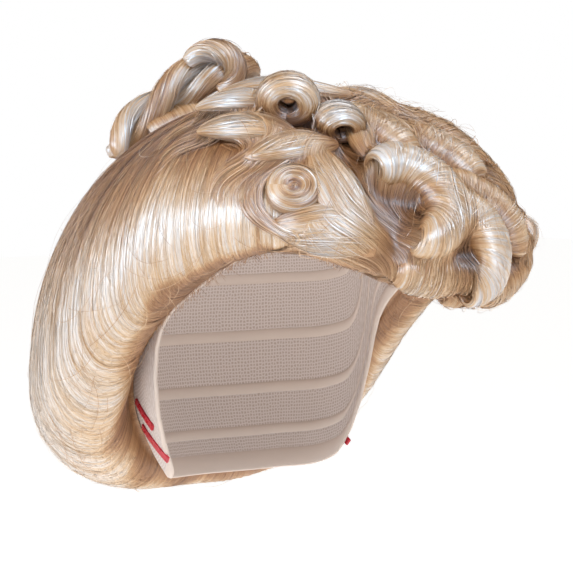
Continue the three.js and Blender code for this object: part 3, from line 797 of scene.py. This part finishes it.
def build_sweep(name, first, last, columns, strand_count, material):
    turn = (last - first) / 360

    def relief(u, v):
        slow = noise_plane(SWEEP_WAVES, u * TURN_WAVES * turn, v * 1.6) * 1.2
        locks = groove(SWEEP_LOCKS, u * (TURN_LOCKS * turn) + 0.6 * slow, v * 2.2, 1.3)
        return along_table(SWEEP_DEPTH, "depth", v) * (locks + 0.5 * slow)

    surface = hair_surface(sweep_form(first, last), 1, relief, sweep_tone(first, last))
    strands = strands_over(
        surface, strand_count, steps=15, spans=(0.35, 0.95), wander=SWEEP_WANDER / turn,
        drift=SWEEP_DRIFT / turn, lift=0.18, width=SWEEP_STRAND, sways=TURN_SWAYS * turn,
        ends=(0.03, SWEEP_END))
    hair_pieces.append((name + "_body", name, [body_part(surface, columns, 56)], material))
    hair_pieces.append((name + "_strands", name, [strands], material))


build_sweep("swept_hair", FRONT_SPLIT - 0.5, 360 - FRONT_SPLIT + 0.5, 300, 6300, sweep_material)
build_sweep("front_pompadour", -FRONT_SPLIT, FRONT_SPLIT, 100, 900, front_material)


# Curls

CURL_TONE = 0.5


def roll_tone(curl):
    """A roll's tone: painted shade makes it dark inside its hole."""
    arc, _, shares = roll_profile(curl["length"] * CURL_SIZE, curl["thick"] * CURL_SIZE, curl["hole"])

    def tone(u, v):
        return CURL_TONE - 0.3 * np.clip(1.15 - 1.6 * np.interp(u, arc, shares), 0, 1)
    return tone


def ring_tone(u, v):
    """A ring's tone: striped, with painted shade that makes it dark at its hole."""
    return 0.56 + 0.14 * np.sin(24 * u + 2 * math.pi * v) - 0.3 * np.clip((u - 0.7) / 0.3, 0, 1)


def lock_tone(u, v):
    """A lock's tone: a painted highlight makes it pale in its middle, and it is golden at its ends.
    """
    return 0.42 + 0.28 * np.sin(math.pi * np.clip(v, 0, 1)) ** 2


def roll_style(curl):
    length = curl["length"] * CURL_SIZE
    style = {
        "form": roll_form(curl), "sign": 1, "tone": roll_tone(curl),
        "locks": max(length / 3.5, 14), "deep": 0.4, "loose": 0.9, "body": (52, 29),
        "count": int(length * 4 + 130), "steps": 13, "spans": (0.35, 0.9),
        "wander": 0.5 / length, "drift": 1.2 / length}
    if length < CURL_SIZE:
        style.update(locks=30, deep=0.75, body=(90, 33), count=420)
    return style


def lock_style(curl):
    wide, thick = curl["wide"] * CURL_SIZE / 2, curl["thick"] * CURL_SIZE / 2
    return {
        "form": tube_form(walk(curl), wide, thick, LOCK_ENDS, LOCK_SWELL), "sign": -1,
        "tone": lock_tone, "locks": wide * 0.8, "deep": 0.4, "loose": 0.3, "body": (30, 30),
        "count": int(wide * 26), "steps": 14, "spans": (0.5, 0.96), "wander": 0.02, "drift": 0.05}


def ring_style(curl):
    return {
        "form": ring_form(curl), "sign": -1, "tone": ring_tone,
        "locks": 7, "deep": 0.35, "loose": 0.4, "body": (30, 49),
        "count": 300, "steps": 20, "spans": (0.3, 0.8), "wander": 0.012, "drift": 0.05}


STYLES = {"roll": roll_style, "lock": lock_style, "ring": ring_style}


def build_curl(curl):
    """A curl's body and strands. Its style has the depths of its locks and of its slow waves."""
    style = STYLES[curl["kind"]](curl)
    row = 10 + sum(map(ord, curl["name"])) % 50

    def relief(u, v):
        slow = noise_plane(row, u * 5 + 9, v * 2.5)
        locks = groove(row, (u + 0.02 * v) * style["locks"], v * 1.2)
        return style["deep"] * locks + style["loose"] * slow

    surface = hair_surface(style["form"], style["sign"], relief, style["tone"], CLEARANCE)
    body = body_part(surface, *style["body"])
    strands = strands_over(
        surface, style["count"], style["steps"], style["spans"], style["wander"], style["drift"],
        lift=0.3, width=CURL_STRAND, sways=style["locks"])
    curl_bodies.append(body)
    hair_pieces.append((curl["name"] + "_hair", curl["name"], [body, strands], curl_material))


curl_bodies = []
for curl in CURLS:
    build_curl(curl)


# Strands over the curls

# They follow each curl's hair, rise over the rolls and gather in the valleys between them.
VEIL_AROUND = np.arange(-128, 128.1, 1.0)
VEIL_DOWN = np.linspace(0.03, 0.97, 130)
VEIL_POINTS = hair_point(VEIL_AROUND[:, None], VEIL_DOWN[None, :])
VEIL_NORMALS = hair_normal(VEIL_AROUND[:, None], VEIL_DOWN[None, :])
RAY_START = 60

# The steps of a veil's strand, how long each is and how lengths and lifts spread. Strands that
# cross nothing taller than LEAST_TALL are left out.
VEIL_STEPS, VEIL_STRIDE, STRIDE_SPREAD, VEIL_LIFTS = 12, 2.6, (0.93, 1.07), (1.3, 0.3)
LEAST_TALL = 1.5

# How much the plain sweep counts beside the curls near a place, how far a curl's way reaches as a
# share of its width, and where along a curl its way is read.
SWEEP_WEIGHT, WAY_REACH = 0.12, 0.6
WAY_PLACES = np.linspace(0.05, 0.95, 8)

# The curls that show their end, which no loose strand crosses: where the end's middle lies along
# the curl, and how far strands stay from it as a share of its width.
ROUND_CURLS = ("ring_curl_right", "oval_curl", "ring_curl_left", "pin_curl_right", "pin_curl_left")
ROUND_MIDDLE, ROUND_REACH = 0.6, 0.54


def blur(values, width):
    """A grid smoothed over a width in cells, the same both ways."""
    reach = int(3 * width)
    weights = np.exp(-0.5 * (np.arange(-reach, reach + 1) / width) ** 2)
    weights /= weights.sum()
    for axis in (0, 1):
        padding = [(reach, reach) if k == axis else (0, 0) for k in range(2)]
        padded = np.pad(values, padding, mode="edge")
        values = np.apply_along_axis(lambda line: np.convolve(line, weights, "valid"), axis, padded)
    return values


def curl_heights():
    """How high the curls stand above the swept surface, over the veil's grid."""
    points, quads = joined(curl_bodies)
    tree = BVHTree.FromPolygons(points.tolist(), quads.tolist())
    heights = np.zeros(VEIL_POINTS.shape[:2])
    for i, j in np.ndindex(heights.shape):
        normal = VEIL_NORMALS[i, j]
        hit = tree.ray_cast(VEIL_POINTS[i, j] + normal * RAY_START, -normal, RAY_START)
        if hit[0] is not None:
            heights[i, j] = RAY_START - hit[3]
    return heights


def flow_over_curls():
    """The hair's direction and its tone at each place of the veil's grid, where the locks' painted
    highlight carries over.
    """
    step_down = unit(np.gradient(VEIL_POINTS, axis=1))
    total = SWEEP_WEIGHT * step_down
    tones = np.full(total.shape[:2], SWEEP_WEIGHT * CURL_TONE)
    weights = np.full(total.shape[:2], SWEEP_WEIGHT)
    for curl in CURLS:
        line = walk(curl)
        reach = curl["wide"] * CURL_SIZE * WAY_REACH
        for share in WAY_PLACES:
            point, out, across, along = (even_spline(part, np.array(share)) for part in line)
            weight = np.exp(-((VEIL_POINTS - point) ** 2).sum(-1) / reach**2)[..., None]
            if curl["kind"] == "ring":
                way = np.cross(out, VEIL_POINTS - point)
            else:
                way = np.broadcast_to(along if curl["kind"] == "lock" else across, total.shape)
            sign = np.where((way * step_down).sum(-1, keepdims=True) < 0, -1, 1)
            total = total + weight * sign * unit(way)
            # A lock's painted highlight carries over to the strands over it.
            tone = lock_tone(0, share) if curl["kind"] == "lock" else CURL_TONE
            tones = tones + weight[..., 0] * tone
            weights = weights + weight[..., 0]
    total = total - VEIL_NORMALS * (total * VEIL_NORMALS).sum(-1, keepdims=True)
    return unit(total), tones / weights


def cell_of(value, axis):
    """The cell of an even axis that each value lies in, and the share of the way through it."""
    place = np.clip((value - axis[0]) / (axis[1] - axis[0]), 0, len(axis) - 1.001)
    cell = place.astype(int)
    return cell, place - cell


def grid_value(grid, around, down):
    """A grid's value between its cells."""
    i, right = cell_of(around, VEIL_AROUND)
    j, low = cell_of(down, VEIL_DOWN)
    if grid.ndim == 3:
        right, low = right[..., None], low[..., None]
    above = grid[i, j] * (1 - right) + grid[i + 1, j] * right
    below = grid[i, j + 1] * (1 - right) + grid[i + 1, j + 1] * right
    return above * (1 - low) + below * low


def rates_over_grid(ways):
    """The hair's direction as steps of the two grid angles for each millimetre."""
    side = np.gradient(VEIL_POINTS, axis=0) / (VEIL_AROUND[1] - VEIL_AROUND[0])
    below = np.gradient(VEIL_POINTS, axis=1) / (VEIL_DOWN[1] - VEIL_DOWN[0])
    ss, sb, bb = (side * side).sum(-1), (side * below).sum(-1), (below * below).sum(-1)
    ws, wb = (ways * side).sum(-1), (ways * below).sum(-1)
    return np.stack([ws * bb - wb * sb, wb * ss - ws * sb], -1) / (ss * bb - sb * sb)[..., None]


CURL_HEIGHTS = curl_heights()
LOW_HEIGHTS = blur(CURL_HEIGHTS, 1.6)
MEAN_HEIGHTS = blur(CURL_HEIGHTS, 7)
FLOW, TONES = flow_over_curls()
RATES = rates_over_grid(FLOW)


def clear_of_round_curls(around, down):
    """Which strands pass none of the curls that show their end."""
    clear = np.ones(len(around), bool)
    for curl in CURLS:
        if curl["name"] in ROUND_CURLS:
            middle = even_spline(walk(curl)[0], np.array(ROUND_MIDDLE))
            away = np.linalg.norm(hair_point(around, down) - middle, axis=-1)
            clear &= (away > curl["wide"] * CURL_SIZE * ROUND_REACH).all(axis=1)
    return clear


def veil_part(first, last, count):
    """Strands between two angles, each led step by step over the curls."""
    around = rng.uniform(first, last, count)
    down = rng.uniform(0.06, 0.9, count) ** 0.8
    path = [(around, down)]
    for _ in range(VEIL_STEPS - 1):
        stride = rng.uniform(*STRIDE_SPREAD, (count, 1))
        speed = grid_value(RATES, around, down) * VEIL_STRIDE * stride
        around = around + speed[:, 0]
        down = np.clip(down + speed[:, 1], VEIL_DOWN[0], VEIL_DOWN[-1])
        path.append((around, down))
    around, down = (np.stack(part, 1) for part in zip(*path))
    tall = grid_value(LOW_HEIGHTS, around, down)
    keep = clear_of_round_curls(around, down) & (tall.max(axis=1) > LEAST_TALL)
    around, down, tall = around[keep], down[keep], tall[keep]
    count = len(around)
    normal = hair_normal(around, down)
    lift = rng.gamma(*VEIL_LIFTS, (count, 1)) * arch(VEIL_STEPS)
    points = hair_point(around, down) + normal * (tall + CLEARANCE + lift)[..., None]
    slope = unit(np.gradient(points, axis=1))
    facing = unit(normal - slope * (slope * normal).sum(-1, keepdims=True))
    width = rng.uniform(*WIDTH_SPREAD, count) * CURL_STRAND
    return ribbons(points, grid_value(TONES, around, down), facing, rng.uniform(0, 1, (count, 1)),
                   np.linspace(0, 1, VEIL_STEPS), width)


for side_name, first, last, count in (("right", 0, 124, 30000), ("left", -124, 0, 11400)):
    hair_pieces.append(("pompadour_strands_" + side_name, "front_pompadour",
                        [veil_part(first, last, count)], curl_material))


# Stray hairs

STRAYS = rows(
    "count first last highest lowest steps stride rise",
    (420, -180, 180, 0.08, 0.8, 14, 4.0, 0),
    (200, -58, -4, 0.12, 0.34, 6, 2.2, 1.0),
    (200, -60, 70, 0.08, 0.3, 6, 2.2, 0.7),
    (120, -50, 50, 0.35, 0.8, 6, 2.0, 0.6))
STRAY_TONE, HAIRLINE_TONE = 0.52, 0.35


def stray_part(row):
    """Single fine hairs that arch a little off the hair, or stand up at their ends."""
    count, steps = row["count"], row["steps"]
    around = rng.uniform(row["first"], row["last"], count)
    down = rng.uniform(row["highest"], row["lowest"], count)
    normal, way = hair_normal(around, down), downhill(around, down)
    bend, start = rng.normal(0, 0.11, count), rng.normal(0, 0.5, count)
    points = [hair_point(around, down)]
    for i in range(steps - 1):
        angle = (start + bend * i)[:, None]
        turned_way = way * np.cos(angle) + np.cross(normal, way) * np.sin(angle)
        points.append(points[-1] + turned_way * row["stride"])
    points = np.stack(points, 1)
    normals, height, around, down = nearest_hair(points)
    inside = np.abs(around) < VEIL_AROUND[-1]
    over = np.where(inside, grid_value(LOW_HEIGHTS, around, down), 0)
    share = np.linspace(0, 1, steps)
    curve = np.sin(share * math.pi) * rng.gamma(2, 0.7, (count, 1))
    stand = row["rise"] * share**1.5 * rng.uniform(0.5, 5, (count, 1))
    points = points + normals * (over + 0.4 + curve + stand - height)[..., None]
    clear = clear_of_round_curls(around, down)
    points, normals, count = points[clear], normals[clear], clear.sum()
    return ribbons(points, STRAY_TONE, normals, rng.uniform(0, 1, (count, 1)), share,
                   rng.uniform(*STRAY_WIDTHS, count))


def hairline_part(count, steps):
    """Short fuzz along the hairline at the face."""
    around = rng.uniform(-100, 100, (count, 1))
    root = hair_point(around, rng.uniform(0.9, 1, (count, 1)))
    out = polar(around, 1, 0)
    level = np.cross(out, UP)
    share = np.linspace(0, 1, steps)
    reach = rng.uniform(1.5, 6, (count, 1, 1)) * share[None, :, None]
    lean, swing = rng.uniform(-0.5, 0.3, (count, 1, 1)), rng.normal(0, 0.6, (count, 1, 1))
    points = root + reach * (out * lean + level * swing - UP)
    points = points + level * reach**2 * rng.normal(0, 0.05, (count, 1, 1))
    return ribbons(points, HAIRLINE_TONE, np.broadcast_to(out, points.shape),
                   rng.uniform(0, 1, (count, 1)), share, np.full(count, HAIRLINE_WIDTH))


hair_pieces.append(("stray_hairs", "swept_hair",
                    [stray_part(row) for row in STRAYS] + [hairline_part(900, 4)], curl_material))


# Twist and loop

BUNDLE_DEPTH = 0.6
LINE_POINTS = 61


def bundle_tone(u, v):
    return 0.64 - 0.24 * np.sin(2 * math.pi * u)


def bundle_relief(u, v):
    return BUNDLE_DEPTH * groove(TWIST_LOCKS, u * 12, v * 2)


def bundle(name, node, line, wide, thick, end_share, power):
    form = tube_form(line, wide, thick, end_share, power, twisting=0.6)
    surface = hair_surface(form, 1, bundle_relief, bundle_tone)
    body = body_part(surface, 37, 70)
    strands = strands_over(surface, 480, steps=18, spans=(0.3, 0.8), wander=0.02, drift=0.06,
                           lift=0.35, width=TWIST_STRAND, sways=9)
    hair_pieces.append((name, node, [body, strands], curl_material))


def twist_place(row):
    """A row of the twist's middle line as a point over the hair."""
    around, down = row["around"], row["down"]
    return hair_point(around, down) + hair_normal(around, down) * row["lift"] * TWIST_SIZE


twist_line, twist_along = curve_through(np.array([twist_place(row) for row in TWIST]), LINE_POINTS)
twist_share = np.linspace(0, 1, LINE_POINTS)
twist_level = unit(np.cross(twist_along, UP))
twist_size = swell(TWIST_ENDS, 0.5, twist_share)[:, None]
for letter, phase in (("a", 0), ("b", 0.5)):
    angle = ((TWIST_TURNS * twist_share + phase) * 2 * math.pi)[:, None]
    out = twist_level * np.cos(angle) - np.cross(twist_along, twist_level) * np.sin(angle)
    middle = twist_line + out * TWIST_SIZE / 4 * twist_size
    thick = TWIST_SIZE / 4 - GAP / 2
    bundle(f"twist_strand_{letter}_hair", f"twist_strand_{letter}",
           [middle, out, np.cross(out, twist_along)], thick * TWIST_FLAT, thick, TWIST_ENDS, 0.5)

loop_foot = twist_place(max(TWIST, key=lambda row: row["lift"]))
loop_level = np.array([math.cos(math.radians(LOOP_TURN)), -math.sin(math.radians(LOOP_TURN)), 0])
loop_ahead = np.cross(loop_level, UP)
loop_shares = np.array([
    loop_level * row["along"] + loop_ahead * row["ahead"] + UP * row["rise"] for row in LOOP])
loop_line, loop_along = curve_through(loop_foot + loop_shares * LOOP_SIZE, LINE_POINTS)
loop_out = unit(np.cross(loop_ahead, loop_along))
bundle("crown_loop_hair", "crown_loop", [loop_line, loop_out, np.cross(loop_out, loop_along)],
       LOOP_THICK / 2, LOOP_THICK / 2, LOOP_ENDS, 1)


# Painted shade by depth

# Painted shade and highlight: the hair is painted darker in the hollows between the curls and lighter
# on their crests: the tone for each millimetre over the hair around it, and the limits of this part
# and of the whole tone. Behind the veil, where the twist stands high, no more than HIGHEST_BEHIND
# millimetres count.
PAINTED_DEPTH_SHADE, DEPTH_LIMITS, TONE_LIMITS = 0.055, (-0.4, 0.34), (0.2, 0.93)
HIGHEST_BEHIND = 2


def shade_by_depth(part):
    _, height, around, down = nearest_hair(part["points"])
    over = height - grid_value(MEAN_HEIGHTS, around, down)
    over = np.where(np.abs(around) < VEIL_AROUND[-1], over, np.minimum(over, HIGHEST_BEHIND))
    # Painted shade in the hollows and painted highlight on the crests.
    paler = np.clip(PAINTED_DEPTH_SHADE * over, *DEPTH_LIMITS)
    part["tone"] = np.clip(part["tone"] + paler, *TONE_LIMITS)


finished = []
for name, node, parts, material in hair_pieces:
    if name != "stray_hairs":
        for part in parts:
            shade_by_depth(part)
    piece = make_mesh(name, parts, material)
    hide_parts(node)
    finished.append((piece, "hair_fibre"))


# Cap and ear bands

THREAD_COLOUR, GAP_COLOUR = (0.68, 0.61, 0.59, 1), (0.46, 0.37, 0.32, 1)
TAPE_COLOUR = (0.62, 0.52, 0.46, 1)
RIB_COLOURS = (0.36, 0.006, 0.02, 1), (0.56, 0.014, 0.036, 1)


def net_look():
    """Fine pale net over darker gaps, and plain tape where the tone is 1."""
    material, tree, shader = new_material("net")
    inputs = {"Vector": stretched_uv(tree, 330, 130), "Scale": 1.0, "Randomness": 0.35}
    threads = shader_node(tree, "ShaderNodeTexVoronoi", inputs, voronoi_dimensions="2D",
                          feature="DISTANCE_TO_EDGE").outputs["Distance"]
    gaps = math_node(tree, "MULTIPLY", threads, 3.2, clamp=True)
    net = mixed(tree, gaps, THREAD_COLOUR, GAP_COLOUR)
    cover = mixed(tree, tone_of_place(tree), net, TAPE_COLOUR)
    connect(tree, shader, {"Base Color": cover, "Roughness": 0.8})
    return material


def satin_look():
    """Red satin with fine ribs and a slow change of shine."""
    material, tree, shader = new_material("satin")
    place = shader_node(tree, "ShaderNodeTexCoord").outputs["Object"]
    ribs = shader_node(tree, "ShaderNodeTexWave", {"Vector": place, "Scale": 500},
                       bands_direction="DIAGONAL").outputs["Fac"]
    slow = shader_node(tree, "ShaderNodeTexNoise", {"Vector": place, "Scale": 220}).outputs["Fac"]
    connect(tree, shader, {
        "Base Color": mixed(tree, ribs, *RIB_COLOURS), "Normal": bumped(tree, ribs, 0.4),
        "Roughness": math_node(tree, "MULTIPLY", slow, 0.6)})
    return material


# Levels on the net are shares of the way from its crown to its edge, and offsets are in
# millimetres out from the head.
CAP_ROWS, CAP_COLUMNS = 34, 145
TAPES = rows(
    "level half_width",
    (0.4, 0.012), (0.55, 0.012), (0.68, 0.012), (0.8, 0.012), (0.9, 0.012), (0.975, 0.024))
TAPE_PROFILE = rows("side offset", (-1, -0.14), (-0.7, -0.7), (0.7, -0.7), (1, -0.14))
BINDING = rows(
    "level offset", (0.984, -0.3), (1.0, -0.3), (1.004, 0.6), (1.0, 1.6), (0.984, 1.6))


def cap_part(levels, offsets, tone, inwards=True):
    """A face of the net, or a band round it: one ring of points for each level."""
    level, turn = np.meshgrid(levels, np.linspace(-180, 180, CAP_COLUMNS), indexing="ij")
    points = net_point(turn, level, np.reshape(offsets, (-1, 1)))
    return grid_part(points, tone, (turn + 180) / 360, level, flip=inwards)


whole_net = np.linspace(0, 1, CAP_ROWS)
parts = [
    cap_part(whole_net, 0, 0.0),
    cap_part(whole_net, NET_WALL, 0.0, inwards=False),
    cap_part(cells(BINDING, "level"), cells(BINDING, "offset"), 1.0)]
for tape in TAPES:
    levels = tape["level"] + tape["half_width"] * cells(TAPE_PROFILE, "side")
    parts.append(cap_part(levels, cells(TAPE_PROFILE, "offset"), 1.0))
cap = make_mesh("cap_net", parts, net_look())
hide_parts("cap")
finished.append((cap, "net"))

band_material = satin_look()
for level in ("upper", "lower"):
    for side_name in ("right", "left"):
        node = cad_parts[f"ear_band_{level}_{side_name}"]
        node.data.materials.clear()
        node.data.materials.append(band_material)

for piece, slot_name in finished:
    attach(piece, "root")


# Floor, light and camera

FLOOR_REACH, FLOOR_LEVEL = 6, -0.45
floor_mesh = bpy.data.meshes.new("floor")
corners = ((-1, -1), (1, -1), (1, 1), (-1, 1))
floor_mesh.from_pydata([(x * FLOOR_REACH, y * FLOOR_REACH, FLOOR_LEVEL) for x, y in corners], [],
                       [(0, 1, 2, 3)])
floor_material, tree, floor_shader = new_material("floor")
connect(tree, floor_shader, {
    "Base Color": (0.85, 0.85, 0.85, 1), "Roughness": 0.9,
    "Emission Color": (1, 1, 1, 1), "Emission Strength": 0.6})
floor_mesh.materials.append(floor_material)
floor = add_object("floor", floor_mesh)

# The camera sees a white backdrop, and the object is filled with a weaker, warmer light.
world = bpy.data.worlds.new("studio")
world.use_nodes = True
tree = world.node_tree
fill = tree.nodes["Background"]
connect(tree, fill, {"Color": (1, 0.985, 0.96, 1), "Strength": 0.5})
shown = shader_node(tree, "ShaderNodeBackground", {"Color": (1, 1, 1, 1), "Strength": 1.0})
seen = shader_node(tree, "ShaderNodeLightPath").outputs["Is Camera Ray"]
sky = shader_node(
    tree, "ShaderNodeMixShader", {0: seen, 1: fill.outputs[0], 2: shown.outputs[0]})
connect(tree, tree.nodes["World Output"], {"Surface": sky.outputs["Shader"]})
bpy.context.scene.world = world
world.cycles_visibility.glossy = False
bpy.context.scene.view_settings.view_transform = "Standard"

# The camera turns round MIDDLE, which lies at MIDDLE_PIXEL of the photograph. Angles are in
# degrees round from the front and up, and distances in metres.
MIDDLE = np.array([0.0, 0.0, -0.112])
CAMERA_AZIMUTH, CAMERA_ELEVATION, CAMERA_DISTANCE = -40, 5, 1.6
PHOTO_SIZE = 573
PIXELS_PER_MM = 1.9
MIDDLE_PIXEL = (285, 357)
SENSOR = 36.0


def look_from(thing, azimuth, elevation, distance):
    """Moves a camera or a lamp to a viewpoint and points it at the middle."""
    azimuth, elevation = math.radians(azimuth), math.radians(elevation)
    away = np.array([math.sin(azimuth) * math.cos(elevation),
                     -math.cos(azimuth) * math.cos(elevation), math.sin(elevation)])
    thing.location = Vector(MIDDLE + away * distance)
    thing.rotation_euler = Vector(away).to_track_quat("Z", "Y").to_euler()


camera = add_object("camera", bpy.data.cameras.new("camera"))
look_from(camera, CAMERA_AZIMUTH, CAMERA_ELEVATION, CAMERA_DISTANCE)
camera.data.sensor_width = SENSOR
camera.data.lens = PIXELS_PER_MM * CAMERA_DISTANCE / MM * SENSOR / PHOTO_SIZE
camera.data.shift_x = (PHOTO_SIZE / 2 - MIDDLE_PIXEL[0]) / PHOTO_SIZE
camera.data.shift_y = (MIDDLE_PIXEL[1] - PHOTO_SIZE / 2) / PHOTO_SIZE
camera.data.clip_end = 50
bpy.context.scene.camera = camera

# Warm lamps light the hair's colour, and cool ones show only as its highlights.
LIGHTS = rows(
    "name azimuth elevation distance size watts colour shows",
    ("warm_key", -80, 45, 1.4, 0.4, 10, (1.0, 0.93, 0.84), "diffuse"),
    ("warm_front", -10, 35, 1.5, 0.6, 6, (1.0, 0.95, 0.88), "diffuse"),
    ("warm_left", 75, 30, 1.5, 0.6, 5, (1.0, 0.93, 0.84), "diffuse"),
    ("warm_back", 165, 30, 1.5, 0.6, 6, (1.0, 0.93, 0.84), "diffuse"),
    ("cool_side", -92, 12, 1.4, 0.7, 56, (0.56, 0.78, 1.0), "glossy"),
    ("cool_front", -12, 34, 1.5, 0.8, 56, (0.5, 0.75, 1.0), "glossy"),
    ("cool_top", 60, 60, 1.3, 0.6, 12, (0.7, 0.85, 1.0), "glossy"))
for row in LIGHTS:
    lamp = bpy.data.lights.new(row["name"], "AREA")
    lamp.size, lamp.energy, lamp.color = row["size"], row["watts"], row["colour"]
    light = add_object(row["name"], lamp)
    light.visible_diffuse = row["shows"] == "diffuse"
    light.visible_glossy = row["shows"] == "glossy"
    look_from(light, row["azimuth"], row["elevation"], row["distance"])
